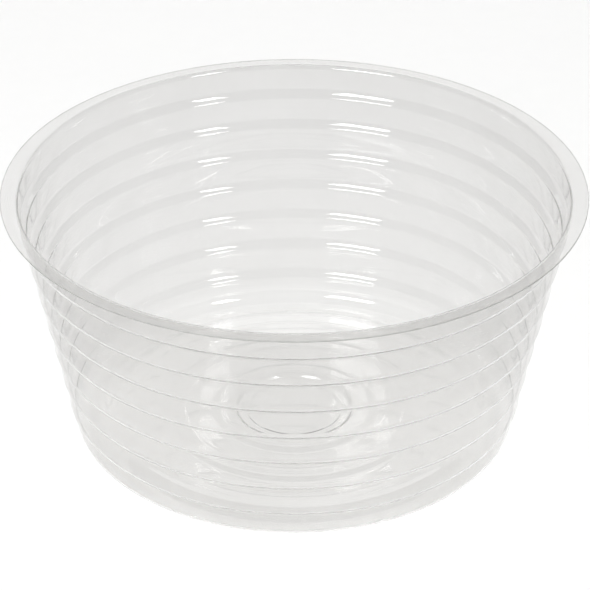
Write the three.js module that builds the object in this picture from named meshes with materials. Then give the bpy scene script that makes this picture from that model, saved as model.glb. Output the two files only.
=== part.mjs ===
// Deep round plant saucer: one thin clear sheet, drawn down in shallow tiers to a raised, ringed base,
// with a flat rolled-out flange round the mouth. Millimetres, +Z up, origin at the middle of the base.
import * as THREE from 'three';

// ---- driving dimensions -------------------------------------------------------------------------
const SHEET = 0.6;              // wall thickness
const HEIGHT = 115.6;           // standing plane to the top of the flange
const FLANGE_R = 127.0;         // outer radius of the flange
const MOUTH_R = 120.1;          // radius where the flange turns down into the wall
const MOUTH_FILLET = 1.5;       // size of that turn
const SEGMENTS = 52;            // facets round the axis

// Seven narrow sloping ledges up the wall, as [outer radius, drop of its first bend below the flange].
const LEDGES = [
  [119.30, 11.80], [116.30, 26.20], [113.30, 40.85], [110.40, 55.50],
  [107.40, 70.05], [104.50, 84.80], [101.70, 99.75],
];
// Each ledge eases in over two bends and then turns back into the wall below, as [step in, fall, fillet] from the bend before.
const LEDGE_BENDS = [[0, 0, 0], [0.95, 1.95, 0], [1.60, 1.68, 1.8]];

const HEEL_R = 98.6;            // where the wall would meet the standing plane
const HEEL_FILLET = 6.0;        // the rounded heel between them

// Base inside the flat standing ring: a raised ring plateau in three parts, and a low well in the middle.
const SKIRT_FOOT = 87.2;        // inner edge of the standing ring
const TERRACES = [              // [crest radius, crest height, foot radius, foot height] of each shallow step
  [34.2, 2.6, 37.4, 1.7],
  [56.6, 2.35, 59.8, 1.5],
];
const PLATEAU_R = 80.6;         // outer crest, above the skirt down to the standing ring
const PLATEAU_H = 2.35;         // its height
const WELL_TOP = 26.8;          // the wall round the middle well, top and foot
const WELL_FOOT = 25.4;
const WELL_H = 0.7;
const DISC_R = 20.8;            // flat disc in the middle of the well
const DISC_H = 0.3;

// ---- underside of the sheet, from the axis out to the flange, as [radius, height, fillet] -------
function underside() {
  const p = [
    [0, DISC_H, 0], [DISC_R, DISC_H, 0], [DISC_R + 0.8, WELL_H, 0],
    [WELL_FOOT, WELL_H, 1.6], [WELL_TOP, TERRACES[0][1], 2.0],
  ];
  for (const [crest, top, foot, low] of TERRACES) p.push([crest, top, 7], [foot, low, 7]);
  p.push([PLATEAU_R, PLATEAU_H, 14], [SKIRT_FOOT, 0, 14], [HEEL_R, 0, HEEL_FILLET]);
  for (const [radius, drop] of [...LEDGES].reverse()) {
    let r = radius, z = HEIGHT - drop;
    const bends = LEDGE_BENDS.map(([step, fall, fillet]) => [r -= step, z -= fall, fillet]);
    p.push(...bends.reverse());
  }
  p.push([MOUTH_R, HEIGHT - SHEET, MOUTH_FILLET], [FLANGE_R, HEIGHT - SHEET, 0]);
  return p;
}

// Replaces each corner that has a fillet by points on its arc.
function rounded(corners) {
  const out = [corners[0].slice(0, 2)];
  for (let i = 1; i < corners.length - 1; i++) {
    const [bx, by, fillet] = corners[i];
    if (!fillet) { out.push([bx, by]); continue; }
    let ux = bx - corners[i - 1][0], uy = by - corners[i - 1][1];
    let vx = corners[i + 1][0] - bx, vy = corners[i + 1][1] - by;
    const lu = Math.hypot(ux, uy), lv = Math.hypot(vx, vy);
    ux /= lu; uy /= lu; vx /= lv; vy /= lv;
    const turn = Math.atan2(ux * vy - uy * vx, ux * vx + uy * vy);
    const cut = Math.min(fillet * Math.tan(Math.abs(turn) / 2), 0.84 * lu, 0.84 * lv);
    const r = cut / Math.tan(Math.abs(turn) / 2), sign = Math.sign(turn);
    const s = [bx - cut * ux, by - cut * uy];
    const c = [s[0] - sign * r * uy, s[1] + sign * r * ux];
    const n = Math.max(1, Math.round(Math.abs(turn) / 0.6));
    const a0 = Math.atan2(s[1] - c[1], s[0] - c[0]);
    for (let j = 0; j <= n; j++) {
      const a = a0 + turn * j / n;
      out.push([c[0] + r * Math.cos(a), c[1] + r * Math.sin(a)]);
    }
  }
  out.push(corners[corners.length - 1].slice(0, 2));
  return out;
}

// Moves a line sideways by the sheet thickness, with mitred corners, to give the upper side.
function offset(points, d) {
  const out = [];
  const n = points.length;
  const side = (a, b) => {
    const dx = b[0] - a[0], dz = b[1] - a[1], l = Math.hypot(dx, dz);
    return [-dz / l, dx / l];
  };
  for (let i = 0; i < n; i++) {
    const u = i > 0 ? side(points[i - 1], points[i]) : side(points[0], points[1]);
    const v = i < n - 1 ? side(points[i], points[i + 1]) : u;
    const k = 1 + u[0] * v[0] + u[1] * v[1];
    out.push([points[i][0] + d * (u[0] + v[0]) / k, points[i][1] + d * (u[1] + v[1]) / k]);
  }
  return out;
}

const lower = rounded(underside());
const upper = offset(lower, SHEET);
upper[0][0] = 0;
const profile = [...lower, ...upper.reverse()].map(([r, z]) => new THREE.Vector2(r, z));

const geometry = new THREE.LatheGeometry(profile, SEGMENTS);
geometry.rotateX(Math.PI / 2);

const shell = new THREE.Mesh(geometry, new THREE.MeshStandardMaterial({
  color: 0xe5e5e3, roughness: 0.08, metalness: 0, transparent: true, opacity: 0.35, side: THREE.DoubleSide,
}));
shell.name = 'saucer_shell';

const group = new THREE.Group();
group.add(shell);
export default group;
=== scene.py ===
import math

import bpy
import numpy as np
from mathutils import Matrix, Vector, noise


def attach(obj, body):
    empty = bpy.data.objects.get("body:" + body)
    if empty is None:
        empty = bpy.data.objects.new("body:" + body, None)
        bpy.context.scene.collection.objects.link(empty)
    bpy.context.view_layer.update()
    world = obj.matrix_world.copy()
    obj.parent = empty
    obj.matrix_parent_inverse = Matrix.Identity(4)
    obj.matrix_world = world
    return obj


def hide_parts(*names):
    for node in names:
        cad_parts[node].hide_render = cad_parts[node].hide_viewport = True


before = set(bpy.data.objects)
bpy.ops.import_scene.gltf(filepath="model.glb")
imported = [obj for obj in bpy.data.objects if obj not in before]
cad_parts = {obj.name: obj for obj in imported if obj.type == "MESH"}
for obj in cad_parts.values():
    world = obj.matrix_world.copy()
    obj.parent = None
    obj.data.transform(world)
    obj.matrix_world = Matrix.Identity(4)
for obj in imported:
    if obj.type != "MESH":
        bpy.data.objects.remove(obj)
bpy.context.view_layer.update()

# ---------------------------------------------------------------------------------------------
# Sizes in millimetres, the same as the CAD solid's. They turn into metres in the mesh.
# ---------------------------------------------------------------------------------------------
SHEET = 0.6
HEIGHT = 115.6
FLANGE_R = 127.0
MOUTH_R, MOUTH_FILLET = 120.1, 1.5
LEDGES = [  # outer radius, drop of its first bend below the flange
    (119.30, 11.80), (116.30, 26.20), (113.30, 40.85), (110.40, 55.50),
    (107.40, 70.05), (104.50, 84.80), (101.70, 99.75),
]
LEDGE_BENDS = [(0.0, 0.0, 3.5), (0.95, 1.95, 4.0), (1.60, 1.68, 1.1)]  # step in and fall from the bend before, fillet
HEEL_R, HEEL_FILLET = 98.6, 6.0
SKIRT_FOOT, PLATEAU_R, PLATEAU_H = 87.2, 80.6, 2.35
TERRACES = [(34.2, 2.6, 37.4, 1.7), (56.6, 2.35, 59.8, 1.5)]  # crest radius and height, foot radius and height
BEADS = [49.0, 71.0]  # inner radius of the two fine beads on the plateau
BEAD_W, BEAD_H = 3.0, 0.15
WELL_TOP, WELL_FOOT, WELL_H = 26.8, 25.4, 0.7
DISC_R, DISC_H = 20.8, 0.3
AROUND = 384

# ---------------------------------------------------------------------------------------------
# Camera: the viewing angle and framing of the photograph
# ---------------------------------------------------------------------------------------------
PITCH = math.radians(30.8636)
TARGET = Vector((0.0, 0.0, (HEIGHT - 0.43055 * FLANGE_R) / 1000))
DISTANCE = 9.0717 * FLANGE_R / 1000
cam_data = bpy.data.cameras.new("camera")
cam_data.sensor_width = 36.0
cam_data.lens = 2595.82 / 590 * 36.0
cam_data.shift_x = 0.00116
cam_data.clip_start, cam_data.clip_end = 0.05, 40.0
cam = bpy.data.objects.new("camera", cam_data)
cam.location = TARGET + DISTANCE * Vector((0.0, -math.cos(PITCH), math.sin(PITCH)))
cam.rotation_euler = (math.pi / 2 - PITCH, 0.0, 0.0)
bpy.context.scene.collection.objects.link(cam)
bpy.context.scene.camera = cam


# ---------------------------------------------------------------------------------------------
# The formed sheet: one line through the underside, rounded at its corners, with its normals
# ---------------------------------------------------------------------------------------------
def underside():
    """Corner points (radius, height, fillet) of the underside from the axis to the flange's edge."""
    p = [
        (0.0, DISC_H, 0.0), (DISC_R, DISC_H, 0.6), (DISC_R + 0.8, WELL_H, 0.6),
        (WELL_FOOT, WELL_H, 1.6), (WELL_TOP, TERRACES[0][1], 2.0),
    ]
    for i, (crest, top, foot, low) in enumerate(TERRACES):
        end, end_h = TERRACES[1][:2] if i == 0 else (PLATEAU_R, PLATEAU_H)
        p += [(crest, top, 7.0), (foot, low, 7.0)]
        for d, up in ((0.0, 0.0), (0.35, BEAD_H), (0.65, BEAD_H), (1.0, 0.0)):
            r = BEADS[i] + d * BEAD_W
            p.append((r, low + (end_h - low) * (r - foot) / (end - foot) + up, 1.5))
    p += [(PLATEAU_R, PLATEAU_H, 14.0), (SKIRT_FOOT, 0.0, 14.0), (HEEL_R, 0.0, HEEL_FILLET)]
    for r, drop in reversed(LEDGES):
        z, bends = HEIGHT - drop, []
        for step, fall, fillet in LEDGE_BENDS:
            r, z = r - step, z - fall
            bends.append((r, z, fillet))
        p += bends[::-1]
    under = HEIGHT - SHEET
    p += [(MOUTH_R, under, MOUTH_FILLET), (FLANGE_R, under, 0.0)]
    return p


def rounded(corners, step):
    """Points and unit normals (towards the upper side) along the line, with an arc at each corner and extra points on the straights."""
    pts, nrm = [], []

    def add(p, n):
        if pts and math.hypot(p[0] - pts[-1][0], p[1] - pts[-1][1]) < 1e-4:
            return
        pts.append(p)
        nrm.append(n)

    def straight(a, b):
        l = math.hypot(b[0] - a[0], b[1] - a[1])
        if l < 1e-6:
            return
        n = (-(b[1] - a[1]) / l, (b[0] - a[0]) / l)
        k = max(1, math.ceil(l / step))
        for i in range(k + 1):
            t = i / k
            add((a[0] + t * (b[0] - a[0]), a[1] + t * (b[1] - a[1])), n)

    here = corners[0][:2]
    for i in range(1, len(corners) - 1):
        (ax, ay), (bx, by, rad), (cx, cy) = here, corners[i], corners[i + 1][:2]
        ux, uy = bx - corners[i - 1][0], by - corners[i - 1][1]
        vx, vy = cx - bx, cy - by
        lu, lv = math.hypot(ux, uy), math.hypot(vx, vy)
        ux, uy, vx, vy = ux / lu, uy / lu, vx / lv, vy / lv
        turn = math.atan2(ux * vy - uy * vx, ux * vx + uy * vy)
        cut = min(rad * math.tan(abs(turn) / 2), 0.84 * lu, 0.84 * lv)
        rad = cut / max(math.tan(abs(turn) / 2), 1e-9)
        s = (bx - cut * ux, by - cut * uy)
        straight((ax, ay), s)
        sign = 1 if turn > 0 else -1
        centre = (s[0] - sign * rad * uy, s[1] + sign * rad * ux)
        k = max(2, math.ceil(abs(turn) / math.radians(6.5)))
        a0 = math.atan2(s[1] - centre[1], s[0] - centre[0])
        for j in range(1, k + 1):
            a = a0 + turn * j / k
            q = (centre[0] + rad * math.cos(a), centre[1] + rad * math.sin(a))
            add(q, (-sign * math.cos(a), -sign * math.sin(a)))
        here = (bx + cut * vx, by + cut * vy)
    end = corners[-1][:2]
    straight(here, (end[0] - 0.6, end[1]))
    for back in (0.36, 0.30, 0.26):
        add((end[0] - back, end[1]), (0.0, 1.0))
    return np.array(pts), np.array(nrm)


line, normal = rounded(underside(), 3.2)
# The sheet is drawn thinner the further it is drawn down.
height = line[:, 1]
wall = SHEET * (0.84 + 0.16 * np.clip(height / HEIGHT, 0, 1))
wall[line[:, 0] > MOUTH_R] = SHEET
upper = line + normal * wall[:, None]
upper[:, 0] = np.maximum(upper[:, 0], 0.0)
upper[0, 0] = 0.0

# The cut edge: the two skins close with a short, slightly rounded face.
edge = np.array([
    [FLANGE_R - 0.03, HEIGHT - SHEET + 0.05], [FLANGE_R, HEIGHT - SHEET + 0.14],
    [FLANGE_R, HEIGHT - 0.14], [FLANGE_R - 0.03, HEIGHT - 0.05],
])
profile = np.vstack([line, edge, upper[::-1]])
EDGE_FIRST, EDGE_LAST = len(line) - 1, len(line) + len(edge)


def wave(x, y, z, seed, scale):
    return noise.noise(Vector((x * scale + seed * 17.3, y * scale - seed * 5.1, z * scale + seed * 3.7)))


def shell_mesh():
    """A closed shell turned from the profile, moved a little off round as a drawn sheet is."""
    n = len(profile)
    ang = np.arange(AROUND) / AROUND * 2 * math.pi
    cs, sn = np.cos(ang), np.sin(ang)
    first, last = 0, n - 1
    ring = profile[1:-1]
    m = len(ring)
    r, z = ring[:, 0], ring[:, 1]
    # both skins move together, so the movement is worked out on the underside's own height and radius
    x = r[:, None] * cs[None]
    y = r[:, None] * sn[None]
    zz = np.repeat(z[:, None], AROUND, 1)
    dr, dz = np.zeros((m, AROUND)), np.zeros((m, AROUND))
    wall_zone = np.clip((z - 6) / 10, 0, 1) * np.clip((HEIGHT - 2.0 - z) / 10, 0, 1) * (r > 90)
    base_zone = np.clip((84.0 - r) / 8, 0, 1) * (z < 12)
    for i in range(m):
        if wall_zone[i] > 0:
            for j in range(AROUND):
                px, py, pz = 110 * cs[j], 110 * sn[j], z[i]
                dr[i, j] = wall_zone[i] * (0.05 * wave(px, py, pz * 0.3, 1, 0.025) + 0.012 * wave(px, py, pz * 0.3, 2, 0.07))
        elif base_zone[i] > 0:
            for j in range(AROUND):
                dz[i, j] = base_zone[i] * (0.04 * wave(x[i, j], y[i, j], 0, 3, 0.02) + 0.010 * wave(x[i, j], y[i, j], 0, 4, 0.07))
    x = (r[:, None] + dr) * cs[None]
    y = (r[:, None] + dr) * sn[None]
    zz = zz + dz
    verts = np.stack([x, y, zz], 2).reshape(-1, 3)
    # poles
    bottom = np.array([[0, 0, profile[first, 1] + dz[0].mean()]])
    top = np.array([[0, 0, profile[last, 1] + dz[-1].mean()]])
    verts = np.vstack([verts, bottom, top]) / 1000
    ib, it = m * AROUND, m * AROUND + 1
    j = np.arange(AROUND)
    k = (j + 1) % AROUND
    quads = []
    for i in range(m - 1):
        a, b = i * AROUND, (i + 1) * AROUND
        quads.append(np.stack([a + j, a + k, b + k, b + j], 1))
    quads = np.vstack(quads)
    low = np.stack([np.full(AROUND, ib), k, j], 1)
    last_ring = (m - 1) * AROUND
    high = np.stack([np.full(AROUND, it), last_ring + j, last_ring + k], 1)
    mesh = bpy.data.meshes.new("saucer_shell_formed")
    faces = quads.tolist() + low.tolist() + high.tolist()
    mesh.from_pydata(verts.tolist(), [], faces)
    slots = np.zeros(len(faces), np.int32)
    strip = np.repeat(np.arange(1, m), AROUND)  # the profile index of each quad's lower row
    slots[: len(quads)] = ((strip >= EDGE_FIRST) & (strip < EDGE_LAST)).astype(np.int32)
    mesh.polygons.foreach_set("material_index", slots)
    mesh.polygons.foreach_set("use_smooth", np.ones(len(faces), bool))
    mesh.validate()
    mesh.update()
    return mesh


shell = bpy.data.objects.new("formed_saucer", shell_mesh())
bpy.context.scene.collection.objects.link(shell)


# ---------------------------------------------------------------------------------------------
# Materials
# ---------------------------------------------------------------------------------------------
def nodes_of(name):
    mat = bpy.data.materials.new(name)
    mat.use_nodes = True
    nt = mat.node_tree
    nt.nodes.clear()
    return mat, nt


def node(nt, kind, **values):
    n = nt.nodes.new(kind)
    for key, value in values.items():
        if key.startswith("_"):
            setattr(n, key[1:], value)
        else:
            n.inputs[key.replace("__", " ")].default_value = value
    return n


def ramp(nt, src, lo, hi, a, b):
    m = nt.nodes.new("ShaderNodeMapRange")
    m.clamp = True
    nt.links.new(src, m.inputs[0])
    for i, v in enumerate((lo, hi, a, b), 1):
        m.inputs[i].default_value = v
    return m.outputs[0]


def maths(nt, op, a, b=None):
    m = nt.nodes.new("ShaderNodeMath")
    m.operation = op
    for i, v in enumerate((a, b)):
        if v is None:
            continue
        if isinstance(v, (int, float)):
            m.inputs[i].default_value = v
        else:
            nt.links.new(v, m.inputs[i])
    return m.outputs[0]


def noise_tex(nt, vector, scale, detail=2.0, rough=0.5):
    t = node(nt, "ShaderNodeTexNoise", Scale=scale, Detail=detail, Roughness=rough)
    nt.links.new(vector, t.inputs["Vector"])
    return t.outputs["Fac"]


def mapped(nt, vector, scale, rot=(0, 0, 0)):
    m = nt.nodes.new("ShaderNodeMapping")
    m.inputs["Scale"].default_value = scale
    m.inputs["Rotation"].default_value = rot
    nt.links.new(vector, m.inputs["Vector"])
    return m.outputs[0]


def mix_rgb(nt, fac, a, b):
    m = nt.nodes.new("ShaderNodeMix")
    m.data_type = "RGBA"
    nt.links.new(fac, m.inputs[0])
    m.inputs[6].default_value = (*a, 1)
    m.inputs[7].default_value = (*b, 1)
    return m.outputs[2]


def clear_vinyl():
    mat, nt = nodes_of("clear_vinyl")
    co = nt.nodes.new("ShaderNodeTexCoord").outputs["Object"]
    sep = nt.nodes.new("ShaderNodeSeparateXYZ")
    nt.links.new(co, sep.inputs[0])
    rad = maths(nt, "SQRT", maths(nt, "ADD", maths(nt, "MULTIPLY", sep.outputs[0], sep.outputs[0]),
                                  maths(nt, "MULTIPLY", sep.outputs[1], sep.outputs[1])))
    p = nt.nodes.new("ShaderNodeBsdfPrincipled")
    # tint: a faint grey, deepest in the undrawn flange, paler down the wall and palest in the base, with soft cloudy
    # change. The grey is partly the sheet's own thinning where it is drawn and partly painted shade: it stands in for
    # the dimmer backdrop seen through the sheet, and its grading by height sets the tones of flange, wall and base.
    cloud = noise_tex(nt, co, 14.0, 3.0, 0.5)
    drawn_and_shade = maths(nt, "ADD", ramp(nt, sep.outputs[2], 0.006, HEIGHT / 1000, 0.42, 0.06),
                  ramp(nt, sep.outputs[2], 0.003, 0.009, 0.48, 0.0))
    soft = ramp(nt, cloud, 0.35, 0.65, -0.08, 0.12)
    nt.links.new(mix_rgb(nt, maths(nt, "ADD", drawn_and_shade, soft), FLANGE_TINT_AND_SHADE, BASE_TINT_AND_SHADE), p.inputs["Base Color"])
    # gloss: smooth sheet, with faint haze patches, fine scuffs, and a worn standing ring
    haze = ramp(nt, noise_tex(nt, co, 38.0, 4.0, 0.6), 0.45, 0.75, 0.012, 0.045)
    fine = noise_tex(nt, mapped(nt, co, (900, 900, 60), (0.3, 0.2, 0.5)), 1.0, 3.0, 0.6)
    scuff = ramp(nt, fine, 0.66, 0.74, 0.0, 0.05)
    ring = maths(nt, "MULTIPLY", ramp(nt, sep.outputs[2], 0.0, 0.0009, 1.0, 0.0), ramp(nt, rad, 0.086, 0.089, 0.0, 0.22))
    flange = maths(nt, "MULTIPLY", ramp(nt, sep.outputs[2], HEIGHT / 1000 - 0.0009, HEIGHT / 1000 - 0.0003, 0.0, 1.0),
                   ramp(nt, noise_tex(nt, co, 260.0, 3.0, 0.6), 0.4, 0.7, 0.0, 0.06))
    well = maths(nt, "MULTIPLY", ramp(nt, rad, 0.0242, 0.0256, 0.0, 1.0), ramp(nt, rad, 0.0276, 0.0296, 0.12, 0.0))
    rough = maths(nt, "ADD", maths(nt, "ADD", maths(nt, "ADD", haze, scuff), well), maths(nt, "ADD", ring, flange))
    nt.links.new(rough, p.inputs["Roughness"])
    # relief: soft draw marks up the wall and a slight ripple
    ripple = noise_tex(nt, mapped(nt, co, (60, 60, 14)), 1.0, 2.0, 0.5)
    bump = node(nt, "ShaderNodeBump", Strength=0.04, Distance=0.0004)
    nt.links.new(ripple, bump.inputs["Height"])
    nt.links.new(bump.outputs[0], p.inputs["Normal"])
    p.inputs["IOR"].default_value = 1.53
    p.inputs["Transmission Weight"].default_value = 1.0
    pass_light(nt, p.outputs[0], (1.0, 1.0, 0.998))
    return mat


def cut_edge_painted_shade():
    mat, nt = nodes_of("cut_edge_painted_shade")
    co = nt.nodes.new("ShaderNodeTexCoord").outputs["Object"]
    p = nt.nodes.new("ShaderNodeBsdfPrincipled")
    saw = noise_tex(nt, mapped(nt, co, (300, 300, 4000)), 1.0, 3.0, 0.6)
    # painted shade: the cut edge is an opaque grey face whose tone stands in for the thin dark line seen along a clear
    # sheet's edge; the saw-mark noise varies it
    tint = mix_rgb(nt, ramp(nt, saw, 0.4, 0.65, 0.0, 1.0), (0.40, 0.40, 0.39), (0.50, 0.50, 0.49))
    nt.links.new(tint, p.inputs["Base Color"])
    nt.links.new(ramp(nt, saw, 0.35, 0.7, 0.22, 0.42), p.inputs["Roughness"])
    bump = node(nt, "ShaderNodeBump", Strength=0.2, Distance=0.0002)
    nt.links.new(saw, bump.inputs["Height"])
    nt.links.new(bump.outputs[0], p.inputs["Normal"])
    p.inputs["IOR"].default_value = 1.53
    p.inputs["Transmission Weight"].default_value = 0.0
    pass_light(nt, p.outputs[0], (0.8, 0.8, 0.8))
    return mat


def pass_light(nt, shader, colour):
    """Lamps reach what is behind the clear sheet, a little dimmed by each face."""
    lp = nt.nodes.new("ShaderNodeLightPath")
    tr = nt.nodes.new("ShaderNodeBsdfTransparent")
    tr.inputs["Color"].default_value = (*colour, 1)
    mix = nt.nodes.new("ShaderNodeMixShader")
    either = maths(nt, "MAXIMUM", lp.outputs["Is Shadow Ray"], lp.outputs["Is Diffuse Ray"])
    nt.links.new(either, mix.inputs[0])
    nt.links.new(shader, mix.inputs[1])
    nt.links.new(tr.outputs[0], mix.inputs[2])
    out = nt.nodes.new("ShaderNodeOutputMaterial")
    nt.links.new(mix.outputs[0], out.inputs["Surface"])


# painted shade in part: these greys darken the clear sheet to stand in for the dimmer backdrop seen through it, darkest
# at the flange and palest in the base
FLANGE_TINT_AND_SHADE, BASE_TINT_AND_SHADE = (0.778, 0.774, 0.768), (0.905, 0.902, 0.897)
for made in (clear_vinyl(), cut_edge_painted_shade()):
    shell.data.materials.append(made)

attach(shell, "root")
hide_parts("saucer_shell")

# ---------------------------------------------------------------------------------------------
# Floor and light
# ---------------------------------------------------------------------------------------------
def paper():
    """A paper sweep: flat and wide under the saucer, and turned up in a narrower strip far behind it."""
    line = [(1.4, -0.0004)]
    line += [(1.4 + 0.8 * math.sin(a), 0.7996 - 0.8 * math.cos(a)) for a in (math.pi / 2 * i / 24 for i in range(1, 25))]
    line.append((2.2, 2.4))
    v = [(x, y, -0.0004) for y in (-6.0, 1.4) for x in (-5.0, 5.0)]
    f = [(0, 1, 3, 2)]
    v += [(x, y, z) for y, z in line for x in (-1.7, 1.7)]
    f += [(4 + 2 * i, 5 + 2 * i, 7 + 2 * i, 6 + 2 * i) for i in range(len(line) - 1)]
    mesh = bpy.data.meshes.new("floor")
    mesh.from_pydata(v, [], f)
    mesh.polygons.foreach_set("use_smooth", np.ones(len(f), bool))
    mesh.update()
    return mesh


floor_mesh = paper()
floor = bpy.data.objects.new("floor", floor_mesh)
bpy.context.scene.collection.objects.link(floor)
mat, nt = nodes_of("floor_paper")
co = nt.nodes.new("ShaderNodeTexCoord").outputs["Object"]
p = nt.nodes.new("ShaderNodeBsdfPrincipled")
grain = noise_tex(nt, co, 90.0, 4.0, 0.6)
nt.links.new(mix_rgb(nt, grain, (0.895, 0.895, 0.892), (0.915, 0.915, 0.912)), p.inputs["Base Color"])
p.inputs["Roughness"].default_value = 0.9
p.inputs["Specular IOR Level"].default_value = 0.1
# painted light: the sweep glows, starting a little above the floor and more strongly higher up; no lamp stands behind
# it
up = nt.nodes.new("ShaderNodeSeparateXYZ")
nt.links.new(co, up.inputs[0])
p.inputs["Emission Color"].default_value = (1.0, 1.0, 0.995, 1)
nt.links.new(ramp(nt, up.outputs[2], 0.25, 0.9, 0.0, 0.38), p.inputs["Emission Strength"])
out = nt.nodes.new("ShaderNodeOutputMaterial")
nt.links.new(p.outputs[0], out.inputs["Surface"])
floor_mesh.materials.append(mat)


def softbox(name, azimuth, elevation, distance, width, tall, radiance, glossy=True):
    """A soft light that faces the saucer. Azimuth is from the camera's side, positive to the right."""
    data = bpy.data.lights.new(name, "AREA")
    data.shape = "RECTANGLE"
    data.size, data.size_y = width, tall
    data.energy = radiance * math.pi * width * tall
    ob = bpy.data.objects.new(name, data)
    a, e = math.radians(azimuth), math.radians(elevation)
    at = Vector((0, 0, 0.06))
    ob.location = at + distance * Vector((math.sin(a) * math.cos(e), -math.cos(a) * math.cos(e), math.sin(e)))
    ob.rotation_euler = (at - ob.location).to_track_quat("-Z", "Y").to_euler()
    ob.visible_glossy = glossy
    ob.visible_transmission = glossy
    ob.visible_camera = False
    bpy.context.scene.collection.objects.link(ob)
    return ob


softbox("softbox_left", -33.2, 37.5, 3.2, 1.19, 1.2, 11.4)
softbox("softbox_right", 41.3, 37.5, 3.2, 0.55, 1.2, 11.4)
softbox("overhead", 0.0, 90.0, 3.2, 4.0, 4.0, 1.25, glossy=False)

world = bpy.data.worlds.new("studio")
world.use_nodes = True
bg = world.node_tree.nodes.get("Background")
bg.inputs["Color"].default_value = (1.0, 0.995, 0.985, 1)
bg.inputs["Strength"].default_value = 0.20
bpy.context.scene.world = world

scene = bpy.context.scene
scene.view_settings.view_transform = "Standard"
scene.view_settings.look = "None"
scene.view_settings.exposure = 0.0
scene.view_settings.gamma = 1.0
scene.cycles.max_bounces = 24
scene.cycles.transmission_bounces = 20
scene.cycles.glossy_bounces = 12
scene.cycles.diffuse_bounces = 3
scene.cycles.transparent_max_bounces = 24
scene.cycles.caustics_reflective = False
scene.cycles.caustics_refractive = False
scene.cycles.sample_clamp_indirect = 12.0
scene.cycles.use_denoising = True
scene.cycles.use_adaptive_sampling = False
